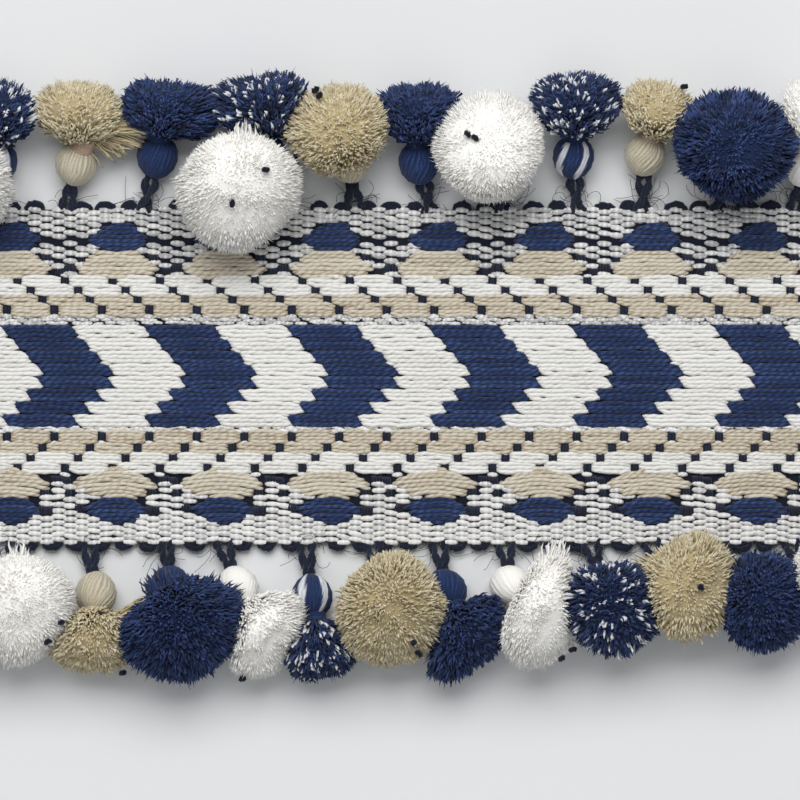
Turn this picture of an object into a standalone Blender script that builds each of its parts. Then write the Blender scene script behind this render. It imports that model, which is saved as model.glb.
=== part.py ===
"""Pompom fringe trim: a jacquard band lying flat, with a looped pompom fringe on both edges.

The origin is the middle of the band's flat underside. +X runs along the band, +Y to the
fringe drawn as the top one, and +Z up through the patterned face. Lengths are in metres.
"""

import math
import random
from collections import namedtuple

import bmesh
import bpy
from mathutils import Vector

MM = 0.001

# The weave: one shot is one weft yarn, and every motif repeats in whole shots.
SHOT = 2.375 * MM
SHOTS = 81
BAND_LENGTH = SHOTS * SHOT
BAND_HALF_WIDTH = 33.6 * MM
GROUND = 1.8 * MM
FLOAT = 2.4 * MM
GROOVE = 1.5 * MM
RIM_HEIGHT = 1.1 * MM
PICOT_REACH = 1.3 * MM
PICOT_SHOTS = 2

# Motifs, in shots from the band's left end.
CHEVRON_NOTCH = 10
CHEVRON_ARM = 6
SPOT_REPEAT = 4
FIGURE_REPEAT = 9
FIGURE_CENTRE = 16.2

# The yarn fringe.
HEAD_RADIUS = 4.1 * MM
NECK_RADIUS = 1.9 * MM
LOOP_YARN = 0.8 * MM
LOOP_SPREAD = 1.25 * MM
GAP = 0.3 * MM
SECTORS = 10
CORE = 0.91
LOCKS = 11
LOCK_TAPER = 0.5
LOWEST_LOCK = -0.35
FRONT_SHARE = 0.1
EVEN_SHARE = 0.5
LUMPINESS = 0.04
DROOP = 3.6 * MM
DOME = 0.61
OVER_CLEARANCE = FLOAT + 0.9 * MM
LEAST_DEPTH = 0.4 * MM

# Lines of the weave on one half of the band: distance from the centre line in mm, what
# the line carries, and that motif's half length or place in shots.
Line = namedtuple("Line", "offset motif value")
HALF_LINES = (
    Line(1.27, "chevron", 0),
    Line(3.82, "chevron", 1),
    Line(6.37, "chevron", 2),
    Line(8.92, "chevron", 3),
    Line(10.7, "groove", 0),
    Line(13.1, "spots", 3.2),
    Line(15.3, "spots", 2.2),
    Line(17.8, "spots", 0.6),
    Line(20.5, "figure", 3.6),
    Line(23.5, "figure", 2.3),
    Line(24.9, "groove", 0),
    Line(26.3, "figure", 2.7),
    Line(28.6, "figure", 1.4),
    Line(30.6, "ground", 0),
    Line(33.3, "ground", 0),
)

# Each pompom, left to right, in mm: where its loop leaves the selvedge, the middle of its
# head, the middle of its widest ring, that ring's radius, and how it lies. A "side" one
# lies on its side, a "front" one turns its trimmed dome up and covers its neighbours,
# and an "over" one does so above the band's edge.
Pompom = namedtuple("Pompom", "colour root head_x head_y ring_x ring_y ring_z radius lies")
TOP = (
    Pompom("ivory", -95.0, -94.2, 41.4, -89.6, 37.0, 12.0, 12.8, "over"),
    Pompom("flecked", -81.4, -81.0, 43.0, -82.2, 53.2, 8.6, 8.8, "side"),
    Pompom("beige", -67.2, -65.2, 42.6, -64.2, 53.4, 8.4, 8.8, "side"),
    Pompom("navy", -51.8, -48.9, 44.0, -47.6, 54.2, 8.2, 8.6, "side"),
    Pompom("ivory", -37.4, -34.2, 42.0, -32.4, 37.2, 12.6, 12.8, "over"),
    Pompom("flecked", -23.0, -24.6, 43.8, -28.2, 55.4, 8.6, 9.6, "side"),
    Pompom("beige", -9.4, -10.6, 42.8, -13.2, 49.6, 11.4, 10.4, "front"),
    Pompom("navy", 5.6, 3.4, 42.8, 2.8, 53.2, 8.4, 8.6, "side"),
    Pompom("ivory", 20.2, 18.6, 41.6, 17.6, 45.8, 12.4, 11.5, "front"),
    Pompom("flecked", 35.0, 34.2, 43.9, 34.4, 54.8, 8.6, 9.5, "side"),
    Pompom("beige", 48.0, 48.6, 44.4, 51.2, 53.2, 8.4, 8.2, "side"),
    Pompom("navy", 63.2, 64.8, 41.8, 66.4, 46.4, 12.4, 12.3, "front"),
    Pompom("ivory", 78.6, 80.6, 42.2, 85.0, 52.6, 9.6, 10.4, "side"),
)
BOTTOM = (
    Pompom("flecked", -91.4, -90.6, -43.2, -91.8, -53.2, 8.4, 8.6, "side"),
    Pompom("ivory", -77.4, -78.0, -41.8, -76.2, -45.6, 12.2, 11.4, "front"),
    Pompom("beige", -62.8, -61.2, -43.6, -62.0, -53.2, 8.6, 9.0, "side"),
    Pompom("navy", -47.4, -46.2, -42.2, -44.0, -50.0, 12.0, 12.6, "front"),
    Pompom("ivory", -36.0, -32.8, -42.4, -28.8, -51.4, 8.8, 9.4, "side"),
    Pompom("flecked", -19.4, -18.0, -44.2, -16.4, -56.0, 7.4, 7.6, "side"),
    Pompom("beige", -6.0, -4.0, -42.2, -2.0, -47.6, 12.2, 11.7, "front"),
    Pompom("navy", 7.2, 8.8, -43.0, 12.8, -51.4, 8.8, 9.4, "side"),
    Pompom("ivory", 20.4, 21.8, -42.0, 29.4, -46.6, 10.4, 11.6, "side"),
    Pompom("flecked", 37.6, 40.0, -41.8, 42.0, -46.2, 12.8, 10.0, "front"),
    Pompom("beige", 49.6, 54.4, -42.2, 57.6, -42.2, 12.4, 10.5, "over"),
    Pompom("navy", 63.6, 67.0, -42.0, 72.8, -45.6, 11.4, 10.5, "front"),
    Pompom("ivory", 77.6, 81.6, -42.0, 87.0, -39.6, 12.2, 10.4, "over"),
)

# Colour and roughness of each material, by eye, in linear values.
FINISHES = {
    "ivory": ((0.80, 0.78, 0.71), 0.9),
    "beige": ((0.46, 0.36, 0.20), 0.9),
    "navy": ((0.018, 0.030, 0.085), 0.9),
    "flecked": ((0.050, 0.065, 0.125), 0.9),
    "loop": ((0.012, 0.018, 0.045), 0.8),
    "band": ((0.45, 0.44, 0.44), 0.85),
}


def clear_scene():
    for obj in list(bpy.data.objects):
        bpy.data.objects.remove(obj, do_unlink=True)


def make_material(name):
    colour, roughness = FINISHES[name]
    material = bpy.data.materials.new(name + "_yarn")
    material.use_nodes = True
    shader = material.node_tree.nodes["Principled BSDF"]
    shader.inputs["Base Color"].default_value = (*colour, 1.0)
    shader.inputs["Roughness"].default_value = roughness
    shader.inputs["Metallic"].default_value = 0.0
    return material


def add_object(name, data, material):
    data.materials.append(material)
    obj = bpy.data.objects.new(name, data)
    bpy.context.scene.collection.objects.link(obj)
    return obj


def mesh_from(bm, name):
    bmesh.ops.recalc_face_normals(bm, faces=bm.faces[:])
    mesh = bpy.data.meshes.new(name)
    bm.to_mesh(mesh)
    bm.free()
    return mesh


def near_repeat(shot, centre, repeat):
    """How far a shot lies from the nearest copy of a repeated centre."""
    offset = (shot - centre) % repeat
    return min(offset, repeat - offset)


def line_height(line, shot):
    """The height of the weave where a line crosses a shot."""
    if line.motif == "chevron":
        phase = (shot - CHEVRON_NOTCH + line.value) % CHEVRON_ARM
        return GROOVE if phase == 0 else FLOAT
    if line.motif == "spots":
        return GROOVE if near_repeat(shot, line.value, SPOT_REPEAT) < 0.5 else FLOAT
    if line.motif == "figure":
        inside = near_repeat(shot, FIGURE_CENTRE, FIGURE_REPEAT) < line.value
        return FLOAT if inside else GROUND
    return GROOVE if line.motif == "groove" else GROUND


def picot_reach(shot, side, pompoms):
    """How far the selvedge's weft loops stand out at a shot: none beside a hanging loop."""
    x = shot * SHOT - BAND_LENGTH / 2
    if any(abs(x - row.root * MM) < SHOT for row in pompoms):
        return 0.0
    out = (shot + (side > 0)) % PICOT_SHOTS == 0
    return PICOT_REACH if out else 0.0


def make_band(material):
    lines = [(-line.offset * MM, line) for line in reversed(HALF_LINES)]
    lines += [(line.offset * MM, line) for line in HALF_LINES]
    count = len(lines) + 2
    bm = bmesh.new()
    bmesh.ops.create_grid(bm, x_segments=SHOTS, y_segments=count - 1, size=0.5)
    for vert in bm.verts:
        shot = round((vert.co.x + 0.5) * SHOTS)
        index = round((vert.co.y + 0.5) * (count - 1))
        vert.co.x = shot * SHOT - BAND_LENGTH / 2
        if 0 < index < count - 1:
            place, line = lines[index - 1]
            vert.co.y = place
            vert.co.z = line_height(line, shot)
        else:
            side = 1 if index else -1
            reach = picot_reach(shot, side, TOP if side > 0 else BOTTOM)
            vert.co.y = side * (BAND_HALF_WIDTH + reach)
            vert.co.z = RIM_HEIGHT
    border = [edge for edge in bm.edges if edge.is_boundary]
    made = bmesh.ops.extrude_edge_only(bm, edges=border)["geom"]
    for vert in [item for item in made if isinstance(item, bmesh.types.BMVert)]:
        vert.co.z = 0.0
        edge_line = BAND_HALF_WIDTH - GAP
        vert.co.y = max(-edge_line, min(edge_line, vert.co.y))
    open_edges = [edge for edge in bm.edges if edge.is_boundary]
    bmesh.ops.holes_fill(bm, edges=open_edges, sides=0)
    return add_object("band", mesh_from(bm, "band"), material)


def head_centre(row):
    return Vector((row.head_x, row.head_y, HEAD_RADIUS / MM)) * MM


def ring_centre(row):
    return Vector((row.ring_x, row.ring_y, row.ring_z)) * MM


def fixed_balls(row):
    """The wound head and its neck, which keep their shape: centre and radius."""
    head = head_centre(row)
    axis = (ring_centre(row) - head).normalized()
    return [(head, HEAD_RADIUS), (head + axis * (HEAD_RADIUS + MM), 1.4 * NECK_RADIUS)]


def pressed_planes(row, others):
    """Planes that this pompom's cut yarn stays behind: a point on each, and its normal."""
    centre = ring_centre(row)
    radius = row.radius * MM
    planes = [(Vector((0, 0, 0)), Vector((0, 0, -1)))]
    if row.lies == "over":
        planes.append((Vector((0, 0, OVER_CLEARANCE)), Vector((0, 0, -1))))
    for other in others:
        away = ring_centre(other) - centre
        overlap = radius + other.radius * MM + GAP - away.length
        if overlap > 0:
            share = EVEN_SHARE
            if (row.lies == "side") != (other.lies == "side"):
                share = 1 - FRONT_SHARE if row.lies == "side" else FRONT_SHARE
            normal = away.normalized()
            planes.append((centre + normal * (radius - share * overlap), normal))
        for ball, size in fixed_balls(other):
            towards = ball - centre
            if towards.length < radius + size + GAP:
                normal = towards.normalized()
                planes.append((ball - normal * (size + GAP), normal))
    return planes


def pull_behind(point, centre, planes):
    """Moves a point along its ray to the centre until it lies behind every plane."""
    ray = point - centre
    keep = 1.0
    for place, normal in planes:
        rise = ray.dot(normal)
        room = (place - centre).dot(normal)
        if rise > room:
            keep = min(keep, max(room, LEAST_DEPTH) / rise)
    return centre + ray * keep


def pompom_profile(row):
    """Distance along the axis and radius there, from the root end to the dome's crown.

    The yarn of a pompom that lies on its side fans out from the neck. That of one with
    its dome up also droops back round the head.
    """
    reach = (ring_centre(row) - head_centre(row)).length
    radius = row.radius * MM * CORE
    dome = DOME * radius
    start = HEAD_RADIUS + 0.8 * MM
    under = start + 0.35 * (reach - start) if row.lies == "side" else start - DROOP
    return (
        (-HEAD_RADIUS, 0.0),
        (-0.55 * HEAD_RADIUS, 0.83 * HEAD_RADIUS),
        (0.2 * HEAD_RADIUS, 0.98 * HEAD_RADIUS),
        (0.8 * HEAD_RADIUS, 0.6 * HEAD_RADIUS),
        (start, NECK_RADIUS),
        (under, 0.68 * radius),
        (reach, radius),
        (reach + 0.55 * dome, 0.82 * radius),
        (reach + 0.9 * dome, 0.42 * radius),
        (reach + dome, 0.0),
    )


def turned_profile(profile):
    """The closed solid that a profile makes when it is turned about the Z axis."""
    bm = bmesh.new()
    verts = [bm.verts.new((radius, 0.0, along)) for along, radius in profile]
    edges = [bm.edges.new(pair) for pair in zip(verts, verts[1:])]
    bmesh.ops.spin(
        bm,
        geom=verts + edges,
        cent=(0, 0, 0),
        axis=(0, 0, 1),
        angle=2 * math.pi,
        steps=SECTORS,
        use_merge=True,
    )
    bmesh.ops.remove_doubles(bm, verts=bm.verts[:], dist=0.01 * MM)
    return bm


def make_pompom(name, row, others, material, chance):
    head = head_centre(row)
    centre = ring_centre(row)
    axis = (centre - head).normalized()
    turn = axis.to_track_quat("Z", "Y")
    profile = pompom_profile(row)
    fixed = {(round(along, 6), round(radius, 6)) for along, radius in profile[:5]}
    bm = turned_profile(profile)
    planes = pressed_planes(row, others)
    for vert in bm.verts:
        ring = (round(vert.co.z, 6), round(vert.co.xy.length, 6))
        swell = 1.0 if ring in fixed else 1 + chance.uniform(-LUMPINESS, LUMPINESS)
        vert.co = head + turn @ Vector((vert.co.x * swell, vert.co.y * swell, vert.co.z))
        if ring not in fixed:
            vert.co = pull_behind(vert.co, centre, planes)
    bmesh.ops.recalc_face_normals(bm, faces=bm.faces[:])
    add_locks(bm, row, centre, axis, planes)
    return add_object(name, mesh_from(bm, name), material)


def add_locks(bm, row, centre, axis, planes):
    """Stands tapered four-sided locks of yarn on the free faces of the trimmed dome."""
    length = row.radius * MM * (1.04 - CORE)
    free = []
    for face in bm.faces:
        outward = face.calc_center_median() - centre
        rise = outward.dot(axis)
        if rise < 0.5 * MM or len(face.verts) != 4:
            continue
        tip = centre + outward * (1 + (length + GAP) / outward.length)
        clear = all((tip - place).dot(normal) < 0 for place, normal in planes)
        if clear and outward.normalized().z > LOWEST_LOCK:
            free.append((round(rise / row.radius / MM, 1), outward.x, face))
    free.sort(key=lambda item: item[:2])
    step = max(1.0, len(free) / LOCKS)
    picked = [free[int(index * step)][2] for index in range(min(LOCKS, len(free)))]
    made = bmesh.ops.extrude_discrete_faces(bm, faces=picked)
    for face in made["faces"]:
        middle = face.calc_center_median()
        outward = (middle - centre).normalized()
        for vert in face.verts:
            vert.co = middle + (vert.co - middle) * LOCK_TAPER + outward * length


def loop_points(row, side):
    """The middle of the yarn round one hanging loop, from the selvedge to the head."""
    head = head_centre(row)
    root = Vector((row.root * MM, side * BAND_HALF_WIDTH, RIM_HEIGHT))
    along = (head - root).normalized()
    start = root + Vector((0, side * (LOOP_YARN + GAP), 0))
    end = head - along * (HEAD_RADIUS + LOOP_YARN + GAP)
    across = Vector((-along.y, along.x, 0)).normalized() * LOOP_SPREAD
    stations = ((0.0, 0.55), (0.2, 1.0), (0.75, 0.95), (1.0, 0.5))
    out = [start.lerp(end, share) + across * width for share, width in stations]
    back = [start.lerp(end, share) - across * width for share, width in stations]
    return out + back[::-1]


def make_loop(name, row, side, material):
    curve = bpy.data.curves.new(name, "CURVE")
    curve.dimensions = "3D"
    curve.bevel_depth = LOOP_YARN
    curve.bevel_resolution = 0
    points = loop_points(row, side)
    spline = curve.splines.new("POLY")
    spline.points.add(len(points) - 1)
    for point, place in zip(spline.points, points):
        point.co = (*place, 1.0)
    spline.use_cyclic_u = True
    return add_object(name, curve, material)


def make_fringe(edge, rows, side, materials, chance):
    for number, row in enumerate(rows, start=1):
        others = [other for other in rows if other is not row]
        make_loop(f"loop_{edge}_{number:02d}", row, side, materials["loop"])
        make_pompom(f"pompom_{edge}_{number:02d}", row, others, materials[row.colour], chance)


def main():
    clear_scene()
    materials = {name: make_material(name) for name in FINISHES}
    chance = random.Random(7)
    make_band(materials["band"])
    make_fringe("top", TOP, 1, materials, chance)
    make_fringe("bottom", BOTTOM, -1, materials, chance)


main()
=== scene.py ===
# %% [markdown]
# # Pompom fringe trim
# A woven band with a looped fringe of pompoms on both edges lies flat on a pale table.
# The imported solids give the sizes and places. This script dresses them: every yarn that
# shows on the band is a swept tube, and every pompom is a bundle of cut yarn ends.

# %% The frame
import math
from collections import namedtuple

import bmesh
import bpy
import numpy as np
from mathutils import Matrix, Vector


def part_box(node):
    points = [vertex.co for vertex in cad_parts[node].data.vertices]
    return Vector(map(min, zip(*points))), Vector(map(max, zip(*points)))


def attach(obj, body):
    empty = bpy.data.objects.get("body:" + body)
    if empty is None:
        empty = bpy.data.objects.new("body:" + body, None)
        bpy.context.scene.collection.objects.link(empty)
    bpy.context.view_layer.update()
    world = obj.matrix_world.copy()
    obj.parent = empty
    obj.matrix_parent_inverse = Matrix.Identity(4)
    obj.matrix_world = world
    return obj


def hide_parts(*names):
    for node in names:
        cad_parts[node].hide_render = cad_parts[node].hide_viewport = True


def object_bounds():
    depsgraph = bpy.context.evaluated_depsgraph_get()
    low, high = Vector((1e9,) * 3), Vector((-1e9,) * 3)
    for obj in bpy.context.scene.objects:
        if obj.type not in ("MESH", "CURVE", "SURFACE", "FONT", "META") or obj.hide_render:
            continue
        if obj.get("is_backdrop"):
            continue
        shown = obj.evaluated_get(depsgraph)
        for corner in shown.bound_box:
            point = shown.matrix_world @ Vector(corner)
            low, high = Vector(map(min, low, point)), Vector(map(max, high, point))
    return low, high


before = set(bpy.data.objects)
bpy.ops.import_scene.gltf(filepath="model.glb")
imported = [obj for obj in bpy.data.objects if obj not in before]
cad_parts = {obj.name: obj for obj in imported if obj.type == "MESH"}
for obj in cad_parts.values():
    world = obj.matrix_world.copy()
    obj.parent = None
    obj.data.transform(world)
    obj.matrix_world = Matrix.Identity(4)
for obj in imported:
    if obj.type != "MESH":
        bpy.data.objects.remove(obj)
cad_low, cad_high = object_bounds()
MM = 0.001
BODY = "root"
print("solids", len(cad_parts), "box in mm", [round(v / MM, 1) for v in cad_high - cad_low])

# %% [markdown]
# The camera looks straight down, with a long lens so that the tall pompoms are not
# thrown outwards. One millimetre of the band is five of the photo's 800 pixels.

# %% Camera
PIXELS_PER_MM = 5.0
VIEW_WIDTH = 800 / PIXELS_PER_MM * MM
VIEW_CENTRE_X = -0.43 * MM
VIEW_CENTRE_Y = -4.8 * MM
BAND_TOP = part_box("band")[1].z

camera_data = bpy.data.cameras.new("camera")
camera_data.type = "PERSP"
camera_data.sensor_width = 36.0
camera_data.lens = 400.0
camera = bpy.data.objects.new("camera", camera_data)
distance = VIEW_WIDTH * camera_data.lens / camera_data.sensor_width
camera.location = (VIEW_CENTRE_X, VIEW_CENTRE_Y, BAND_TOP + distance)
camera_data.clip_start = 0.01
camera_data.clip_end = 10.0
bpy.context.scene.collection.objects.link(camera)
bpy.context.scene.camera = camera
bpy.context.scene.view_settings.view_transform = "Standard"
print("camera height", round(camera.location.z, 3))

# %% [markdown]
# Blender's shaders want linear colour, and colours are easier to pick as sRGB hex. One
# function turns hex to linear, and one adds a node with its settings and links.

# %% Colours and nodes
def linear(hex_colour):
    values = [int(hex_colour[i:i + 2], 16) / 255 for i in (1, 3, 5)]
    flat = [v / 12.92 if v <= 0.04045 else ((v + 0.055) / 1.055) ** 2.4 for v in values]
    return (*flat, 1.0)


def add_node(tree, kind, inputs=None, **settings):
    node = tree.nodes.new(kind)
    for key, value in settings.items():
        setattr(node, key, value)
    for socket, value in (inputs or {}).items():
        if isinstance(value, bpy.types.NodeSocket):
            tree.links.new(value, node.inputs[socket])
        else:
            node.inputs[socket].default_value = value
    return node


# %% [markdown]
# Yarn is dyed cotton or acrylic, spun and plied. Light sinks between its fibres, so it
# has no gloss, only a soft sheen at grazing angles. Two attributes on the mesh steer it:
# `shade` is painted shade and light, mixed with each yarn's own tone. It runs from 0,
# painted deep shade between neighbours, to 1, painted light out in the open, and picks
# between a shaded, a middle and a lit copy of the yarn's colour. `ply` winds round the
# yarn as its twist does, and the grooves between the plies are painted darker. The fine
# fibres are noise stretched along the twist.

# %% Yarn finish
def yarn_finish(name, shaded, middle, light, grain_mm, twist=0.0, bump=0.3, sheen=0.2, fleck=None):
    material = bpy.data.materials.new(name)
    material.use_nodes = True
    tree = material.node_tree
    shader = tree.nodes["Principled BSDF"]
    shade = add_node(tree, "ShaderNodeAttribute", attribute_name="shade").outputs["Fac"]
    if twist:
        ply = add_node(tree, "ShaderNodeAttribute", attribute_name="ply").outputs["Vector"]
        place = add_node(
            tree, "ShaderNodeVectorMath", {0: ply, 1: (2.6, 2.6, 0.35 / MM)}, operation="MULTIPLY"
        ).outputs[0]
        scale = 0.28 / grain_mm
    else:
        place = add_node(tree, "ShaderNodeTexCoord").outputs["Object"]
        scale = 1 / (grain_mm * MM)
    grain = add_node(
        tree, "ShaderNodeTexNoise",
        {"Vector": place, "Scale": scale, "Detail": 3.0, "Roughness": 0.6},
    ).outputs["Fac"]
    height = grain
    # The fibre grain is the yarn's own tone; where the yarn has a twist, the crests of the plies are
    # painted lighter and the grooves between them darker: painted shade.
    if twist:
        crest = add_node(tree, "ShaderNodeSeparateXYZ", {0: ply}).outputs["X"]
        crest = add_node(tree, "ShaderNodeMath", {0: crest}, operation="ABSOLUTE").outputs[0]
        height = add_node(
            tree, "ShaderNodeMath", {0: crest, 1: twist, 2: grain}, operation="MULTIPLY_ADD"
        ).outputs[0]
    grain_and_ply_shade = add_node(
        tree, "ShaderNodeMath", {0: height, 1: 0.6, 2: -0.3 - 0.36 * twist}, operation="MULTIPLY_ADD"
    ).outputs[0]
    value = add_node(
        tree, "ShaderNodeMath", {0: shade, 1: grain_and_ply_shade}, operation="ADD", use_clamp=True
    ).outputs[0]
    colour = colour_ramp(tree, value, shaded, middle, light)
    if fleck:
        dyed = add_node(tree, "ShaderNodeAttribute", attribute_name="fleck").outputs["Fac"]
        pale = colour_ramp(tree, value, *fleck)
        colour = add_node(
            tree, "ShaderNodeMix", {0: dyed, 6: colour, 7: pale}, data_type="RGBA"
        ).outputs[2]
    tree.links.new(colour, shader.inputs["Base Color"])
    raised = add_node(
        tree, "ShaderNodeBump", {"Height": height, "Strength": bump, "Distance": 0.2 * MM}
    ).outputs["Normal"]
    tree.links.new(raised, shader.inputs["Normal"])
    shader.inputs["Roughness"].default_value = 0.9
    shader.inputs["Specular IOR Level"].default_value = 0.15
    shader.inputs["Sheen Weight"].default_value = sheen
    shader.inputs["Sheen Roughness"].default_value = 0.5
    return material


# The shaded, middle and lit copies of one colour, picked by the painted shade value.
def colour_ramp(tree, value, shaded, middle, light):
    ramp = add_node(tree, "ShaderNodeValToRGB", {"Fac": value})
    ramp.color_ramp.elements[0].color = linear(shaded)
    ramp.color_ramp.elements[1].color = linear(light)
    ramp.color_ramp.elements.new(0.5).color = linear(middle)
    return ramp.outputs["Color"]


# Each finish gives its yarn's colour three times: in painted shade, in the middle, and in painted light.
# Warp floats: soft two-ply cotton that lies over several shots, so its plies show.
ivory_float = yarn_finish("ivory_cotton_float", "#c4c0b9", "#e7e6e2", "#f1f0ed", 0.3, 0.8)
beige_float = yarn_finish("beige_cotton_float", "#9a8268", "#cdc5b3", "#dfd9cc", 0.3, 0.9)
navy_float = yarn_finish("navy_cotton_float", "#0c152b", "#283961", "#4d649a", 0.3, 0.9)
# Plain weave: the same ivory cotton, pulled down flat and hard by the weft.
ivory_bead = yarn_finish("ivory_plain_weave", "#a9a9aa", "#e9e8e6", "#f5f4f2", 0.22, 0.8)
# Weft and picots: hard spun dark cotton, the darkest yarn of the trim.
weft_yarn = yarn_finish("dark_navy_weft", "#0c0f19", "#1e2538", "#3a4561", 0.3, 0.5)
# Pompom yarns: soft spun acrylic, cut, so that each end bursts into fibres.
ivory_pile = yarn_finish("ivory_cut_pile", "#f3eee4", "#f9f7f2", "#fcfbf8", 0.5, bump=0.03, sheen=0.25)
beige_pile = yarn_finish(
    "beige_cut_pile", "#9d8c64", "#d0c3a0", "#e6dcc1", 0.35, sheen=0.3,
    fleck=("#8d8268", "#cdc5b0", "#e0dac9"),
)
navy_pile = yarn_finish("navy_cut_pile", "#131f3c", "#273860", "#475c94", 0.35, sheen=0.12)
flecked_pile = yarn_finish(
    "flecked_cut_pile", "#131e3a", "#28375d", "#485c8c", 0.35, sheen=0.12,
    fleck=("#b3b7bf", "#dadce1", "#eceef0"),
)
satin_wrap = yarn_finish("satin_binding_thread", "#957d6c", "#bfa692", "#dbc7b7", 0.4, 0.3)
print("yarn finishes", len(bpy.data.materials))

# %% [markdown]
# Hundreds of yarns are best made as arrays: a sweep takes the centre line of each yarn
# and puts a ring of points round every place on it. Each ring remembers how far the
# twist has turned there, which the yarn finish reads.

# %% Sweeping yarns
Part = namedtuple("Part", "verts faces shade fleck ply")
LAYERS = (("shade", "FLOAT", "value"), ("fleck", "FLOAT", "value"), ("ply", "FLOAT_VECTOR", "vector"))


def unit(vectors):
    return vectors / np.maximum(np.linalg.norm(vectors, axis=-1, keepdims=True), 1e-12)


def spread_to(values, shape):
    values = np.asarray(values, float)
    padded = values.reshape(values.shape + (1,) * (len(shape) - values.ndim))
    return np.broadcast_to(padded, shape).ravel()


def smoothed(values, times):
    """Each inner value drawn towards its neighbours, a number of times, in place."""
    for _ in range(times):
        values[1:-1] = (values[:-2] + 2 * values[1:-1] + values[2:]) / 4
    return values


def keep_above(points, height):
    """Lifts every point that lies lower than a height, in place."""
    points[..., 2] = np.maximum(points[..., 2], height)
    return points


def sweep(points, radii, sides, up, shade, twist=0.0, lobe=0.0, phase=0.0, flat=1.0):
    """A tube for each row of points (yarns, rings, 3), closed at both ends."""
    points = np.asarray(points, float)
    yarns, rings = points.shape[:2]
    steps = np.diff(points, axis=1)
    ahead = unit(np.concatenate([steps[:, :1], steps[:, :-1] + steps[:, 1:], steps[:, -1:]], axis=1))
    side = unit(np.cross(ahead, np.broadcast_to(up, points.shape)))
    lift = np.cross(side, ahead)
    run = np.cumsum(np.linalg.norm(np.diff(points, axis=1, prepend=points[:, :1]), axis=2), axis=1)
    turn = (2 * np.pi * run / twist if twist else 0 * run) + np.reshape(phase, (-1, 1))
    angle = np.arange(sides) * 2 * np.pi / sides
    wound = angle - turn[:, :, None]
    ring = np.broadcast_to(radii, (yarns, rings))[:, :, None] * (1 + lobe * np.cos(2 * wound))
    verts = points[:, :, None] + (ring * np.cos(angle))[..., None] * side[:, :, None]
    verts = verts + (flat * ring * np.sin(angle))[..., None] * lift[:, :, None]
    index = np.arange(yarns * rings * sides).reshape(yarns, rings, sides)
    beside = np.roll(index, -1, axis=2)
    walls = np.stack([index[:, :-1], index[:, 1:], beside[:, 1:], beside[:, :-1]], axis=3)
    caps = np.concatenate([index[:, 0], index[:, -1, ::-1]])
    shape = (yarns, rings, sides)
    along = np.broadcast_to((run + 7 * turn * MM)[:, :, None], shape)
    ply = np.stack([np.cos(wound), np.sin(wound), along], 3)
    return Part(
        verts.reshape(-1, 3), [walls.reshape(-1, 4), caps],
        spread_to(shade, shape), spread_to(0.0, shape), ply.reshape(-1, 3),
    )


def part_of(bm, shade, fleck=0.0):
    """The faces of a bmesh as a part, so that it can join swept yarns in one piece."""
    bm.verts.index_update()
    verts = np.array([vert.co for vert in bm.verts])
    sizes = sorted({len(face.verts) for face in bm.faces})
    faces = [
        np.array([[v.index for v in face.verts] for face in bm.faces if len(face.verts) == size])
        for size in sizes
    ]
    bm.free()
    count = (len(verts),)
    return Part(verts, faces, spread_to(shade, count), spread_to(fleck, count), np.zeros(verts.shape))


def piece(name, parts, material, replaces=()):
    """Joins parts into one smooth mesh that rides on the root body."""
    verts = np.concatenate([part.verts for part in parts])
    loops, sizes, offset = [], [], 0
    for part in parts:
        for faces in part.faces:
            loops.append((faces + offset).ravel())
            sizes.append(np.full(len(faces), faces.shape[1]))
        offset += len(part.verts)
    loops, sizes = np.concatenate(loops), np.concatenate(sizes)
    mesh = bpy.data.meshes.new(name)
    mesh.vertices.add(len(verts))
    mesh.vertices.foreach_set("co", verts.astype(np.float32).ravel())
    mesh.loops.add(len(loops))
    mesh.loops.foreach_set("vertex_index", loops.astype(np.int32))
    mesh.polygons.add(len(sizes))
    mesh.polygons.foreach_set("loop_start", (np.cumsum(sizes) - sizes).astype(np.int32))
    mesh.update(calc_edges=True)
    mesh.polygons.foreach_set("use_smooth", np.ones(len(sizes), bool))
    for key, kind, field in LAYERS:
        layer = mesh.attributes.new(key, kind, "POINT")
        values = np.concatenate([getattr(part, key) for part in parts])
        layer.data.foreach_set(field, values.astype(np.float32).ravel())
    mesh.materials.append(material)
    obj = bpy.data.objects.new(name, mesh)
    bpy.context.scene.collection.objects.link(obj)
    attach(obj, BODY)
    if replaces:
        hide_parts(*replaces)
    print(name, "triangles", int((sizes - 2).sum()))
    return obj


# %% [markdown]
# The ground of the band is what the weft makes: dark ribs across the band, one for each
# shot, which show wherever no warp yarn covers them. It is a sheet on the solid's own
# outline, with a flat back, so it replaces the band's solid.

# %% Band sizes
SHOT = 2.375 * MM
SHOTS = 81
HALF_LENGTH = SHOTS * SHOT / 2
HALF_WIDTH = 33.6 * MM
GROUND_TOP = 1.45 * MM
RIB = 0.16 * MM
YARN = 0.43 * MM
CHEVRON_ROW = 2.55 * MM
FIGURE_REPEAT = 9 * SHOT
FIGURE_CENTRE = 16.2 * SHOT - HALF_LENGTH
chance = np.random.default_rng(11)


def across(pixels):
    """A distance from the band's centre line, from the photo's pixels."""
    return pixels / PIXELS_PER_MM * MM


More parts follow.
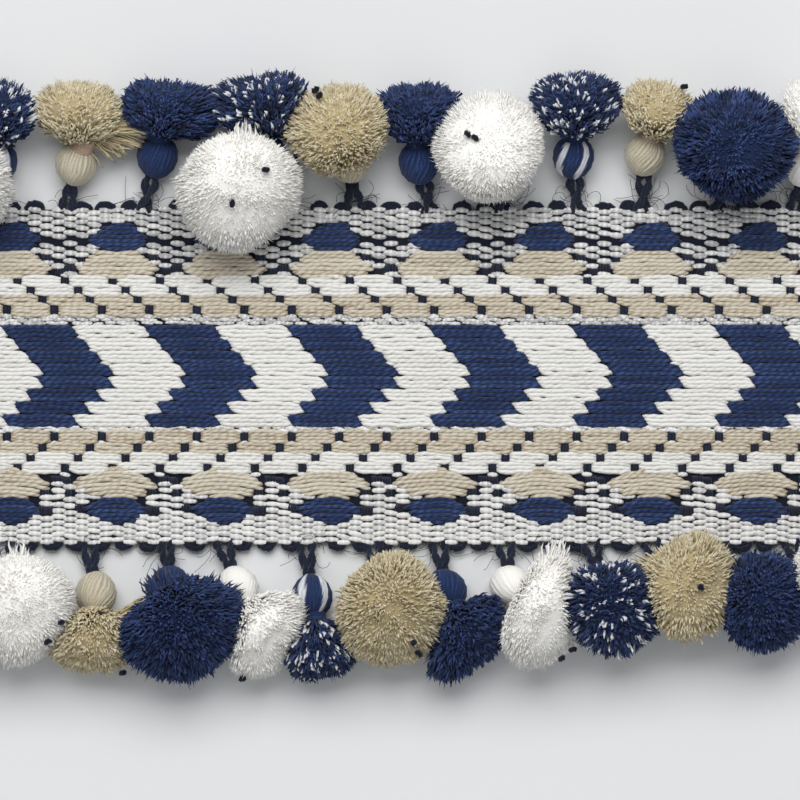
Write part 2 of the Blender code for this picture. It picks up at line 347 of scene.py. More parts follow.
# %% Band ground
ground = bmesh.new()
columns = SHOTS * 2
bmesh.ops.create_grid(ground, x_segments=columns, y_segments=16, size=0.5)
for vert in ground.verts:
    column = round((vert.co.x + 0.5) * columns)
    vert.co.z = GROUND_TOP + (RIB if column % 2 else -RIB)
    vert.co.x *= 2 * HALF_LENGTH
    vert.co.y *= 2 * (HALF_WIDTH - 0.3 * MM)
rim = [edge for edge in ground.edges if edge.is_boundary]
walls = bmesh.ops.extrude_edge_only(ground, edges=rim)["geom"]
for vert in walls:
    if isinstance(vert, bmesh.types.BMVert):
        vert.co.z = 0.0
bmesh.ops.holes_fill(ground, edges=[e for e in ground.edges if e.is_boundary], sides=0)
bmesh.ops.recalc_face_normals(ground, faces=ground.faces[:])
band = piece("band_ground", [part_of(ground, 0.35)], weft_yarn, ["band"])

# %% [markdown]
# A float is a warp yarn that runs over several shots before it dives back under. Its
# ends go down between two ribs, and the yarns of one row crowd together there, so a row
# of three yarns ends in a point. All the motifs are rows of such floats.

# %% Warp floats
FLOAT_HEIGHT = 0.95 * MM
FLOAT_SIDES = 6
TWIST = 3.4 * MM


def floats(rows, radius, shade, rings_per_mm=1.15, height=FLOAT_HEIGHT, arch=0.0):
    """Yarns along X from rows of (start x, end x, start y, middle y, end y)."""
    parts = []
    rows = np.array(rows)
    rows = rows[(rows[:, 1] > -HALF_LENGTH + MM) & (rows[:, 0] < HALF_LENGTH - MM)]
    rows[:, :2] = np.clip(rows[:, :2], -HALF_LENGTH, HALF_LENGTH)
    lengths = rows[:, 1] - rows[:, 0]
    counts = np.maximum(7, np.round(lengths / MM * rings_per_mm).astype(int))
    for count in np.unique(counts):
        group = rows[counts == count]
        u = np.linspace(0, 1, count)
        u = u - 0.09 * np.sin(2 * math.pi * u)
        start, end, y0, y1, y2 = (group[:, i:i + 1] for i in range(5))
        length = end - start
        near = np.minimum(u * length, (1 - u) * length) / (0.8 * SHOT)
        inward = np.clip(near, 0, 1) ** 0.7
        ends = np.where(u < 0.5, y0, y2)
        wave = chance.uniform(-0.16, 0.16, (len(group), 1)) * MM
        wave = wave * np.sin(u * length / MM * 0.9 + chance.uniform(0, 6, (len(group), 1)))
        wave = wave + 0.07 * MM * np.sin(u * length / MM * 2.6 + chance.uniform(0, 6, (len(group), 1)))
        y = ends + (y1 - ends) * inward + wave + arch * MM * (np.sin(np.pi * u) - 0.5) * (y1 < 0)
        rise = np.clip(near * 1.25, 0, 1)
        z = GROUND_TOP - 0.45 * MM + height * np.sin(rise * np.pi / 2) ** 0.8
        z = z + chance.normal(0, 0.04, (len(group), 1)) * MM
        x = start + u * length
        points = np.stack([x, y, z], axis=2)
        radii = radius * (0.5 + 0.5 * np.clip(near * 3.0, 0, 1) ** 0.5)
        # Each yarn gets a random tone, and painted shade darkens it towards its ends, where it dives
        # between the ribs.
        tone = shade + chance.uniform(-0.12, 0.12, (len(group), 1)) - 0.35 * (1 - rise)
        phase = chance.uniform(0, 6.28, len(group))
        parts.append(sweep(points, radii, FLOAT_SIDES, (0, 0, 1), tone, TWIST, 0.08, phase))
    return parts


# %% [markdown]
# The chevrons are eight rows high. Each row holds a navy float and an ivory one, six
# shots each, and steps one shot back from the middle rows, which gives the arrow.

# %% Chevrons
CHEVRON_NOTCH = 10 * SHOT - HALF_LENGTH
ARM = 6 * SHOT
OVERLAP = 0.34 * SHOT
chevron_rows = {"navy": [], "ivory": []}
stitches = []
for row in range(8):
    step = int(abs(row - 3.5))
    middle = (3.5 - row) * CHEVRON_ROW
    for repeat in range(-1, 8):
        for colour, lag in (("navy", 0), ("ivory", 1)):
            left = CHEVRON_NOTCH + (2 * repeat + lag) * ARM - step * SHOT
            for yarn in range(3):
                own = middle + (1 - yarn) * 0.83 * MM
                start = left - OVERLAP + yarn * 0.16 * SHOT
                end = left + ARM + OVERLAP - (2 - yarn) * 0.16 * SHOT
                high = middle + (0.62 - 0.3 * yarn) * MM
                low = middle - (0.1 + 0.25 * yarn) * MM
                chevron_rows[colour].append((start, end, high, own, low))
        upper = row in (1, 2, 3)
        left = CHEVRON_NOTCH + 2 * repeat * ARM - step * SHOT
        notch = left + ARM if upper else left + 2 * ARM
        if upper or row in (5, 6, 7):
            top = middle + CHEVRON_ROW * 0.5
            stitches.append((
                notch - 0.95 * SHOT, notch + 0.1 * SHOT, top + 0.1 * MM, top, top - 0.35 * MM
            ))

piece("chevrons_navy", floats(chevron_rows["navy"], YARN * 1.08, 0.5), navy_float)
piece("chevrons_ivory", floats(chevron_rows["ivory"], YARN * 1.12, 0.6), ivory_float)
stitch_parts = floats(stitches, YARN * 0.85, 0.55, height=1.15 * MM)
piece("chevron_stitches", stitch_parts, ivory_float)

# %% [markdown]
# On each side of the chevrons run two beige and two ivory rows. Every fourth shot the
# warp dives and a dark square of weft shows; each row's squares lie one shot further on
# than the last row's, so they climb in diagonals.

# %% Stepped rows and their weft squares
Stepped = namedtuple("Stepped", "offset offset_below colour first_square yarns")
STEPPED = (
    Stepped(66.2, 60.6, "beige", 3.2, 4),
    Stepped(76.0, 72.2, "beige", 2.2, 3),
    Stepped(86.0, 82.0, "ivory", 1.2, 3),
    Stepped(95.0, 91.8, "ivory", 0.1, 3),
)
SQUARE = 0.72 * SHOT
STEP_REPEAT = 4
YARN_SPACING = {3: 0.78, 4: 0.7}
stepped_rows = {"beige": [], "ivory": []}
squares = []
for side in (1, -1):
    for row in STEPPED:
        middle = side * across(row.offset if side > 0 else row.offset_below)
        for repeat in range(-1, SHOTS // STEP_REPEAT + 1):
            centre = (row.first_square + STEP_REPEAT * repeat) * SHOT - HALF_LENGTH
            squares.append((centre, middle, SQUARE, SQUARE))
            start = centre + SQUARE * 0.34
            end = centre + STEP_REPEAT * SHOT - SQUARE * 0.34
            for yarn in range(row.yarns):
                own = middle + ((row.yarns - 1) / 2 - yarn) * YARN_SPACING[row.yarns] * MM
                slope = chance.uniform(0.1, 0.35) * MM
                pinched = 0.58 * own + 0.42 * middle
                stepped_rows[row.colour].append((start, end, pinched + slope, own, pinched - slope))

# %% [markdown]
# Further out, beige lozenges and navy ovals stand on the same centres, nine shots apart.
# Each is built up from yarns of different lengths: a short table gives how far each line
# lies from the centre line and how far it reaches to each side, in the photo's pixels.

# %% Lozenges and ovals
Run = namedtuple("Run", "offset reach shift")
LOZENGE = {
    1: (Run(99.5, 24, -5), Run(103.4, 39, 3), Run(107.4, 42, 4), Run(111.4, 40, 4),
        Run(115.4, 33, 3), Run(119.3, 29, 3), Run(123.0, 25, 3)),
    -1: (Run(94.4, 17, 2), Run(98.2, 30, 1), Run(102.0, 37, 0), Run(106.0, 42, 1),
         Run(110.0, 41, 2), Run(114.0, 33, 1), Run(117.8, 29, 3), Run(121.2, 17, 6)),
}
OVAL = {
    1: (Run(127.4, 21, 6), Run(131.2, 27, 4), Run(135.2, 30, 3), Run(139.3, 30, 3),
        Run(143.6, 25, 5), Run(147.8, 19, 7), Run(151.8, 13, 9)),
    -1: (Run(123.8, 18, 3), Run(127.6, 25, 2), Run(131.6, 31, 1), Run(135.8, 29, 4),
         Run(140.0, 24, 4), Run(144.2, 18, 4), Run(147.2, 9, 3)),
}
centres = [FIGURE_CENTRE + n * FIGURE_REPEAT for n in range(-2, 9)]
figures = {"lozenge": [], "oval": []}
for side in (1, -1):
    for name, table, heart in (("lozenge", LOZENGE, 110), ("oval", OVAL, 137)):
        for centre in centres:
            for run in table[side]:
                own = side * across(run.offset)
                pinch = 0.14 * (side * across(heart) - own)
                wider = 1.08 if name == "oval" and side < 0 else 1.0
                reach = wider * across(run.reach) + chance.uniform(-0.25, 0.25) * MM
                middle = centre + across(run.shift)
                figures[name].append((
                    middle - reach, middle + reach,
                    own + pinch + 0.12 * MM, own, own + pinch - 0.12 * MM,
                ))

beige_parts = floats(stepped_rows["beige"], YARN * 1.02, 0.55)
beige_parts += floats(figures["lozenge"], YARN * 1.08, 0.58, arch=0.8)
piece("stepped_beige_and_lozenges", beige_parts, beige_float)
piece("stepped_ivory", floats(stepped_rows["ivory"], YARN * 1.08, 0.6), ivory_float)
piece("ovals_navy", floats(figures["oval"], YARN * 1.04, 0.52, arch=0.4), navy_float)

# %% Weft squares
Patch = namedtuple("Patch", "shift offset width height")
BETWEEN_FIGURES = {
    1: (Patch(-14, 117.5, 10, 6), Patch(-1, 105.0, 9, 5), Patch(9, 107.5, 12, 7), Patch(22, 116.5, 8, 4)),
    -1: (Patch(-4, 103.7, 11, 5), Patch(6, 105.2, 8, 5.5), Patch(8, 117.4, 7, 5), Patch(-16, 116.0, 9, 5),
         Patch(-14.5, 134.5, 14, 6), Patch(18, 131.5, 9, 6)),
}
gaps = [centre - FIGURE_REPEAT / 2 for centre in centres]
for side in (1, -1):
    for gap in gaps:
        for patch in BETWEEN_FIGURES[side]:
            squares.append((
                gap + across(patch.shift), side * across(patch.offset),
                across(patch.width), across(patch.height),
            ))

square_points, square_tone = [], []
for centre, middle, width, height in squares:
    if abs(centre) > HALF_LENGTH - SQUARE / 2:
        continue
    strands = round(width / (0.62 * MM))
    for strand in range(strands):
        x = centre + (strand - (strands - 1) / 2) * width / strands
        v = np.linspace(-1, 1, 4)
        y = middle + v * (0.5 * height + 0.15 * MM)
        z = 1.77 * MM - 0.45 * MM * np.abs(v) ** 3
        square_points.append(np.stack([x + 0 * v, y, z], axis=1))
        square_tone.append(chance.uniform(0.3, 0.6))
square_part = sweep(np.array(square_points), 0.32 * MM, 5, (0, 0, 1), np.array(square_tone), 1.6 * MM)
piece("weft_squares", [square_part], weft_yarn)

# %% [markdown]
# Everywhere else the ivory warp is in plain weave: it goes over one shot and under the
# next, so each yarn shows as a row of beads, and neighbours take turns. The figures push
# the warp about, so one repeat is charted: for each of its nine shots, how far
# from the centre line the beads lie, in the photo's pixels. Column 0 is midway between
# two lozenges. The weft shows wherever the beads leave room.

# %% Plain weave beads
BEAD_CHART = {
    1: {
        -4: (166, 160, 155), -3: (163.5, 157), -2: (166, 159, 153, 146, 125.5),
        -1: (163, 157, 150, 142.5, 130.5, 124, 113.5), 0: (167, 160.5, 154, 147, 139.5, 127, 120, 110),
        1: (164, 157.5, 151, 143, 132.5, 123, 115, 102), 2: (166, 160, 154, 148, 141, 127.5, 121.5, 111),
        3: (163, 157, 151.5, 144.5, 130, 124.5), 4: (166, 160.5, 156),
    },
    -1: {
        -4: (152.2, 157.8, 163.5), -3: (149.4, 155, 160.7, 166.3), -2: (141, 146.6, 152.2, 157.8, 163.5),
        -1: (121.6, 127.8, 142.8, 149, 155, 160.7, 166.3),
        0: (108, 114.5, 121, 128, 134.6, 140.6, 146.5, 152.2, 157.8, 163.5),
        1: (111, 123.5, 130, 137, 143.4, 149.3, 155, 160.7, 166.3),
        2: (114, 120, 125.5, 139.6, 146.3, 152.2, 157.8, 163.5),
        3: (120.5, 143, 149.3, 155, 160.7, 166.3), 4: (147, 152.4, 157.8, 163.5),
    },
}
Knob = namedtuple("Knob", "offset first_square half radius")
KNOBS = {
    1: (Knob(59.0, 3.2, 0.95, 0.62), Knob(72.6, 3.2, 0.75, 0.36), Knob(81.4, 1.2, 0.75, 0.36),
        Knob(100.4, 0.1, 0.8, 0.38)),
    -1: (Knob(53.6, 3.2, 0.95, 0.6), Knob(67.0, 3.2, 0.8, 0.46), Knob(77.4, 1.2, 0.75, 0.4),
         Knob(98.6, 0.1, 1.0, 0.5)),
}
BINDING_ROWS = {1: ((52.8, 0.0), (56.2, 0.5), (59.6, 0.15)), -1: ((51.4, 0.0), (54.4, 0.5))}
BEADS_SHIFT = across(-1.75)
BEAD_HALF = 1.4
BEAD_RADIUS = {1: 0.6, -1: 0.59}
beads = []
for side in (1, -1):
    for gap in gaps:
        for column, offsets in BEAD_CHART[side].items():
            for offset in offsets:
                x = gap + BEADS_SHIFT + column * SHOT
                beads.append((x, side * across(offset), BEAD_HALF, BEAD_RADIUS[side]))
    # The tight rows that bind the chevrons' edge, and a knob beside each dark square.
    for offset, stagger in BINDING_ROWS[side]:
        for shot in range(SHOTS):
            x = (shot + stagger + chance.uniform(-0.15, 0.15)) * SHOT - HALF_LENGTH
            lift = chance.normal(0, 0.08) * MM
            half = chance.uniform(1.05, 1.4)
            beads.append((x, side * across(offset) + lift, half, chance.uniform(0.38, 0.5)))
    for knob in KNOBS[side]:
        for repeat in range(SHOTS // STEP_REPEAT + 1):
            x = (knob.first_square + STEP_REPEAT * repeat) * SHOT - HALF_LENGTH
            beads.append((x, side * across(knob.offset), knob.half, knob.radius))

beads = np.array([bead for bead in beads if abs(bead[0]) < HALF_LENGTH - MM])
v = np.array([-1.0, -0.72, 0.0, 0.72, 1.0])
bead_x = beads[:, :1] + v * beads[:, 2:3] * MM + chance.normal(0, 0.06, (len(beads), 1)) * MM
slant = chance.normal(0, 0.05, (len(beads), 1)) - 0.03
bead_y = beads[:, 1:2] + v * slant * MM * 2 + chance.normal(0, 0.04, (len(beads), 1)) * MM
bead_z = GROUND_TOP + 0.34 * MM - 0.34 * MM * np.abs(v) ** 2.4 + 0 * bead_x
bead_radius = beads[:, 3:4] * MM * (1 - 0.5 * np.abs(v) ** 3)
bead_radius = bead_radius * chance.uniform(0.92, 1.06, (len(beads), 1))
# Each bead has a random tone. The upper side is painted a little darker than the lower one, as painted
# shade from the pompoms above, and the ends of each bead, where it dives, get painted shade too.
bead_tone_and_shade = 0.66 - 0.2 * (beads[:, 1:2] > 0) + chance.uniform(-0.15, 0.15, (len(beads), 1))
bead_tone_and_shade = bead_tone_and_shade - 0.35 * np.abs(v) ** 3
bead_part = sweep(
    np.stack([bead_x, bead_y, bead_z], 2), bead_radius, 6, (0, 0, 1), bead_tone_and_shade, 1.8 * MM, 0.06,
    phase=chance.uniform(0, 6.28, len(beads)), flat=0.7,
)
piece("plain_weave_beads", [bead_part], ivory_bead)

# %% [markdown]
# The fringe. The table repeats where each pompom's solid lies, in millimetres: where its
# loop leaves the edge, its wound head, its widest ring, that ring's radius and how it
# lies. The same table gives the planes in which neighbouring pompoms press together.

# %% Where the pompoms lie
Pompom = namedtuple("Pompom", "colour root head_x head_y ring_x ring_y ring_z radius lies")
TOP = (
    Pompom("ivory", -95.0, -94.2, 41.4, -89.6, 37.0, 12.0, 12.8, "over"),
    Pompom("flecked", -81.4, -81.0, 43.0, -82.2, 53.2, 8.6, 8.8, "side"),
    Pompom("beige", -67.2, -65.2, 42.6, -64.2, 53.4, 8.4, 8.8, "side"),
    Pompom("navy", -51.8, -48.9, 44.0, -47.6, 54.2, 8.2, 8.6, "side"),
    Pompom("ivory", -37.4, -34.2, 42.0, -32.4, 37.2, 12.6, 12.8, "over"),
    Pompom("flecked", -23.0, -24.6, 43.8, -28.2, 55.4, 8.6, 9.6, "side"),
    Pompom("beige", -9.4, -10.6, 42.8, -13.2, 49.6, 11.4, 10.4, "front"),
    Pompom("navy", 5.6, 3.4, 42.8, 2.8, 53.2, 8.4, 8.6, "side"),
    Pompom("ivory", 20.2, 18.6, 41.6, 17.6, 45.8, 12.4, 11.5, "front"),
    Pompom("flecked", 35.0, 34.2, 43.9, 34.4, 54.8, 8.6, 9.5, "side"),
    Pompom("beige", 48.0, 48.6, 44.4, 51.2, 53.2, 8.4, 8.2, "side"),
    Pompom("navy", 63.2, 64.8, 41.8, 66.4, 46.4, 12.4, 12.3, "front"),
    Pompom("ivory", 78.6, 80.6, 42.2, 85.0, 52.6, 9.6, 10.4, "side"),
)
BOTTOM = (
    Pompom("flecked", -91.4, -90.6, -43.2, -91.8, -53.2, 8.4, 8.6, "side"),
    Pompom("ivory", -77.4, -78.0, -41.8, -76.2, -45.6, 12.2, 11.4, "front"),
    Pompom("beige", -62.8, -61.2, -43.6, -62.0, -53.2, 8.6, 9.0, "side"),
    Pompom("navy", -47.4, -46.2, -42.2, -44.0, -50.0, 12.0, 12.6, "front"),
    Pompom("ivory", -36.0, -32.8, -42.4, -28.8, -51.4, 8.8, 9.4, "side"),
    Pompom("flecked", -19.4, -18.0, -44.2, -16.4, -56.0, 7.4, 7.6, "side"),
    Pompom("beige", -6.0, -4.0, -42.2, -2.0, -47.6, 12.2, 11.7, "front"),
    Pompom("navy", 7.2, 8.8, -43.0, 12.8, -51.4, 8.8, 9.4, "side"),
    Pompom("ivory", 20.4, 21.8, -42.0, 29.4, -46.6, 10.4, 11.6, "side"),
    Pompom("flecked", 37.6, 40.0, -41.8, 42.0, -46.2, 12.8, 10.0, "front"),
    Pompom("beige", 49.6, 54.4, -42.2, 57.6, -42.2, 12.4, 10.5, "over"),
    Pompom("navy", 63.6, 67.0, -42.0, 72.8, -45.6, 11.4, 10.5, "front"),
    Pompom("ivory", 77.6, 81.6, -42.0, 87.0, -39.6, 12.2, 10.4, "over"),
)
EDGES = (("top", TOP, 1), ("bottom", BOTTOM, -1))
HEAD = 4.1 * MM
NECK = 1.9 * MM
NECK_AT = HEAD + 0.8 * MM
DROOP = 3.6 * MM
OVER_CLEARANCE = BAND_TOP + 0.9 * MM
FRONT_SHARE = 0.1
SOFT_TOUCH = 0.25 * MM
TIP_FLOOR = 0.15 * MM


def head_of(row):
    return np.array((row.head_x, row.head_y, HEAD / MM)) * MM


def ring_of(row):
    return np.array((row.ring_x, row.ring_y, row.ring_z)) * MM


def axis_of(row):
    return unit(ring_of(row) - head_of(row))


def pressed_planes(row, others):
    """A point and a normal for each plane that this pompom's cut yarn stays behind."""
    centre, radius = ring_of(row), row.radius * MM
    floor = OVER_CLEARANCE if row.lies == "over" else 0.0
    planes = [(np.array((0, 0, floor)), np.array((0, 0, -1.0)))]
    for other in others:
        away = ring_of(other) - centre
        gap = np.linalg.norm(away)
        overlap = radius + other.radius * MM - gap
        if overlap > 0:
            share = 0.5
            if (row.lies == "side") != (other.lies == "side"):
                share = 1 - FRONT_SHARE if row.lies == "side" else FRONT_SHARE
            depth = radius - share * overlap + SOFT_TOUCH
            planes.append((centre + away / gap * depth, away / gap))
        for ball, size in (
            (head_of(other), HEAD),
            (head_of(other) + axis_of(other) * (HEAD + MM), 1.4 * NECK),
        ):
            away = ball - centre
            gap = np.linalg.norm(away)
            if gap < radius + size:
                planes.append((ball - away / gap * size, away / gap))
    return planes


def pull_behind(points, centre, planes, give=0.0):
    """Moves points along their rays to the centre until they lie behind every plane."""
    rays = points - centre
    keep = np.ones(len(points))
    for place, normal in planes:
        rise = rays @ normal
        room = max((place - centre) @ normal, 0.4 * MM) + give
        past = rise > room
        keep[past] = np.minimum(keep[past], (room + 0 * rise)[past] / rise[past])
    points = centre + rays * keep[:, None]
    return keep_above(points, TIP_FLOOR)


# %% [markdown]
# A pompom's outline is one smooth curve turned about its axis. The trimmed yarn ends lie
# on its dome and rim; on a pompom with its dome up they also hang back round the head.

# %% Pompom outline
FUR_STANDS = 0.35 * MM


def outline(row):
    """Distance along the axis and radius, from the neck over the rim to the crown."""
    reach = np.linalg.norm(ring_of(row) - head_of(row))
    radius = row.radius * MM - FUR_STANDS
    under = NECK_AT + 0.35 * (reach - NECK_AT) if row.lies == "side" else NECK_AT - DROOP
    knots = np.array([
        (NECK_AT, 0.0), (NECK_AT, NECK * 0.9), (under, 0.68 * radius),
        (reach - 0.12 * radius, 0.97 * radius), (reach + 0.18 * radius, 0.985 * radius),
        (reach + 0.42 * radius, 0.82 * radius),
        (reach + 0.57 * radius, 0.5 * radius), (reach + 0.62 * radius, 0.0),
    ])
    steps = np.linspace(0, len(knots) - 1, 60)
    spots = np.arange(len(knots))
    curve = np.stack([np.interp(steps, spots, knots[:, i]) for i in (0, 1)], axis=1)
    return smoothed(curve, 14)


def frame_of(axis):
    """Two directions across an axis."""
    across_axis = unit(np.cross(axis, (0.3, 0.2, 1.0) if abs(axis[2]) < 0.9 else (1.0, 0.2, 0.1)))
    return across_axis, np.cross(axis, across_axis)


def ends_on(row, density, start_at):
    """Even places for yarn ends on the trimmed surface: along, radius, angle, station."""
    curve = outline(row)
    middle = (curve[1:] + curve[:-1]) / 2
    strip = np.linalg.norm(np.diff(curve, axis=0), axis=1) * middle[:, 1] * 2 * np.pi
    strip[: int(start_at * len(strip))] = 0
    count = int(strip.sum() / MM ** 2 * density)
    share = (np.arange(count) + 0.5) / count
    filled = np.cumsum(strip) / strip.sum()
    station = np.interp(share, np.concatenate([[0], filled]), np.arange(len(curve)))
    along = np.interp(station, np.arange(len(curve)), curve[:, 0])
    radius = np.interp(station, np.arange(len(curve)), curve[:, 1])
    angle = np.arange(count) * math.pi * (3 - math.sqrt(5)) + chance.normal(0, 0.02, count)
    return along, radius, angle, station / (len(curve) - 1)


# %% [markdown]
# Each cut yarn springs from the neck and bends out to its place on the trimmed surface.
# A slim closed spindle of three sides stands for each lock of fibres. Some are blunt,
# some pointed, and neighbours lean and curl together, as crimped wool does. The flecked
# yarn has small tufts of ivory ends among its navy.

# %% Locks of cut yarn
Pile = namedtuple("Pile", "material density width core core_shade light contrast rough wisps")
PILES = {
    "ivory": Pile(ivory_pile, 3.6, 0.25, 0.91, 0.6, 0.64, 0.05, 0.33, 0.12),
    "beige": Pile(beige_pile, 3.3, 0.26, 0.86, 0.16, 0.6, 0.12, 0.85, 0.08),
    "navy": Pile(navy_pile, 3.3, 0.26, 0.84, 0.12, 0.51, 0.15, 0.9, 0.08),
    "flecked": Pile(flecked_pile, 3.3, 0.26, 0.84, 0.1, 0.5, 0.15, 0.85, 0.08),
}
FLECK_SPACING = 2.35 * MM
LOCK_SIDES = 3
STATION_FLOOR = 0.5 * MM


def locks(roots, stations, radii, tips, shade, fleck):
    """Closed slim solids: a root point, rings round the stations, and a tip point."""
    count, rings, sides = len(roots), len(stations), LOCK_SIDES
    ahead = unit(tips - roots)
    one = unit(np.cross(ahead, chance.normal(0, 1, (count, 3))))
    two = np.cross(ahead, one)
    angle = np.arange(sides) * 2 * np.pi / sides
    circle = np.cos(angle)[:, None] * one[:, None] + np.sin(angle)[:, None] * two[:, None]
    layers = [roots[:, None]]
    layers += [place[:, None] + radius[:, None, None] * circle for place, radius in zip(stations, radii)]
    verts = np.concatenate(layers + [tips[:, None]], axis=1)
    tip = 1 + rings * sides
    faces = []
    quads = []
    for corner in range(sides):
        beside = (corner + 1) % sides
        faces.append((0, 1 + beside, 1 + corner))
        faces.append((tip, tip - sides + corner, tip - sides + beside))
        for ring in range(rings - 1):
            low = 1 + ring * sides
            quads.append((low + corner, low + beside, low + sides + beside, low + sides + corner))
    base = np.arange(count)[:, None, None] * (tip + 1)
    made = [(base + np.array(faces)).reshape(-1, 3)]
    if quads:
        made.append((base + np.array(quads)).reshape(-1, 4))
    column = np.repeat(np.arange(rings + 2), [1] + [sides] * rings + [1])
    # A tuft's ivory shows at its outer end and fades towards the root.
    dyed = (fleck[:, None] * np.concatenate([[0.0], np.ones(tip)])).ravel()
    verts = verts.reshape(-1, 3)
    return Part(verts, made, shade[:, column].ravel(), dyed, np.zeros(verts.shape))


def yarn_lines(row, density):
    """Where each lock starts at the neck and ends on the trimmed surface."""
    head, centre, axis = head_of(row), ring_of(row), axis_of(row)
    one, two = frame_of(axis)
    along, radius, angle, station = ends_on(row, density, 0.2 if row.lies == "side" else 0.12)
    out = np.cos(angle)[:, None] * one + np.sin(angle)[:, None] * two
    ends = head + along[:, None] * axis + radius[:, None] * out
    hidden = (ends[:, 2] < 0.3 * centre[2]) & (np.arange(len(ends)) % 2 == 0)
    ends, out, station = ends[~hidden], out[~hidden], station[~hidden]
    heart = head + axis * (NECK_AT + 0.25 * (np.linalg.norm(centre - head) - NECK_AT))
    inner = np.clip((station - 0.25) / 0.35, 0, 1)[:, None]
    starts = head + axis * (NECK_AT - 0.2 * MM) + out * (NECK * 0.8)
    starts = starts + inner * (heart + 0.5 * (ends - heart) - starts)
    return starts, ends, out * (1 - inner), centre


def drift(points, wavelength, amount, own):
    """A smooth wandering vector at each point, from a few waves of one length."""
    waves = unit(own.normal(0, 1, (6, 3))) * 2 * np.pi / (wavelength * own.uniform(0.7, 1.4, (6, 1)))
    push = own.normal(0, 1, (6, 3)) * amount / math.sqrt(6)
    return np.sin(points @ waves.T + own.uniform(0, 6.28, 6)) @ push


def flecks(ends, own):
    """Which locks belong to a small ivory tuft."""
    dyed = np.zeros(len(ends))
    centres = []
    for index in own.permutation(len(ends))[:600]:
        apart = (np.linalg.norm(ends[index] - other) for other in centres)
        if all(gap > FLECK_SPACING * own.uniform(0.6, 1.2) for gap in apart):
            centres.append(ends[index])
            dyed[np.linalg.norm(ends - ends[index], axis=1) < own.uniform(0.42, 0.68) * MM] = 1.0
    return dyed


def lobed(name, outward):
    """How far a pompom's lobes push its surface out, for each direction."""
    rise = np.zeros(len(outward))
    for aim, amount, sharpness in LOBES.get(name.removeprefix("pompom_"), ()):
        rise += amount * MM * np.clip(outward @ unit(np.array(aim, float)), 0, 1) ** sharpness
    return rise


def cut_yarn(name, row, planes, pile):
    own = np.random.default_rng(sum(map(ord, name)))
    starts, ends, out, centre = yarn_lines(row, pile.density)
    count = len(ends)
    outward = unit(ends - centre)
    dyed = flecks(ends, own) if row.colour == "flecked" else np.zeros(count)
    tall = pile.rough * chance.normal(0, 0.3, count) * MM + 0.2 * MM * dyed
    tall += lobed(name, outward)
    lean = drift(ends, 7 * MM, 0.5 * MM, own) + pile.rough * drift(ends, 2.4 * MM, 0.42 * MM, own)
    sunk = np.sum(lean * outward, axis=1)
    lean = lean - (0.6 * sunk + 0.2 * np.abs(sunk))[:, None] * outward
    loose = pile.rough * chance.normal(0, 0.3, (count, 3)) * MM * (1 - 0.6 * dyed[:, None])
    tips = ends + outward * tall[:, None] + loose + lean
    tips = pull_behind(tips, centre, planes, chance.uniform(-0.4, 1.2, count) * MM)
    run = tips - starts
    at = chance.uniform(0.74, 0.93, count)[:, None]
    curl = pile.rough * (chance.normal(0, 0.24, (count, 3)) * MM + drift(ends, 1.8 * MM, 0.25 * MM, own))
    station = starts + at * run + out * (0.7 * MM) * (1.2 - at) / 0.4 + curl
    keep_above(station, STATION_FLOOR)
    tone = chance.normal(pile.light, pile.contrast, count) + 0.15 * dyed
    tone = tone + drift(ends, 3.5 * MM, 0.14, own)[:, 0]
    # Each lock is painted darker at its root and lighter at its tip: painted shade deep in the pile,
    # painted light at the surface.
    shade = tone[:, None] + pile.rough * np.array([-0.4, -0.03, 0.2])
    size = pile.width * MM * chance.uniform(0.75, 1.25, count) * (1 + 0.3 * dyed)
    return [locks(starts, [station], [size], tips, np.clip(shade, 0, 1), dyed)], tips


# %% [markdown]
# No pompom is a perfect ball. Lobes push the trimmed surface out or in towards one side:
# a direction, how far in millimetres, and how narrow the lobe is. A hank is a loose
# bundle that hangs away from the rest, from the neck to a pixel of the photo.

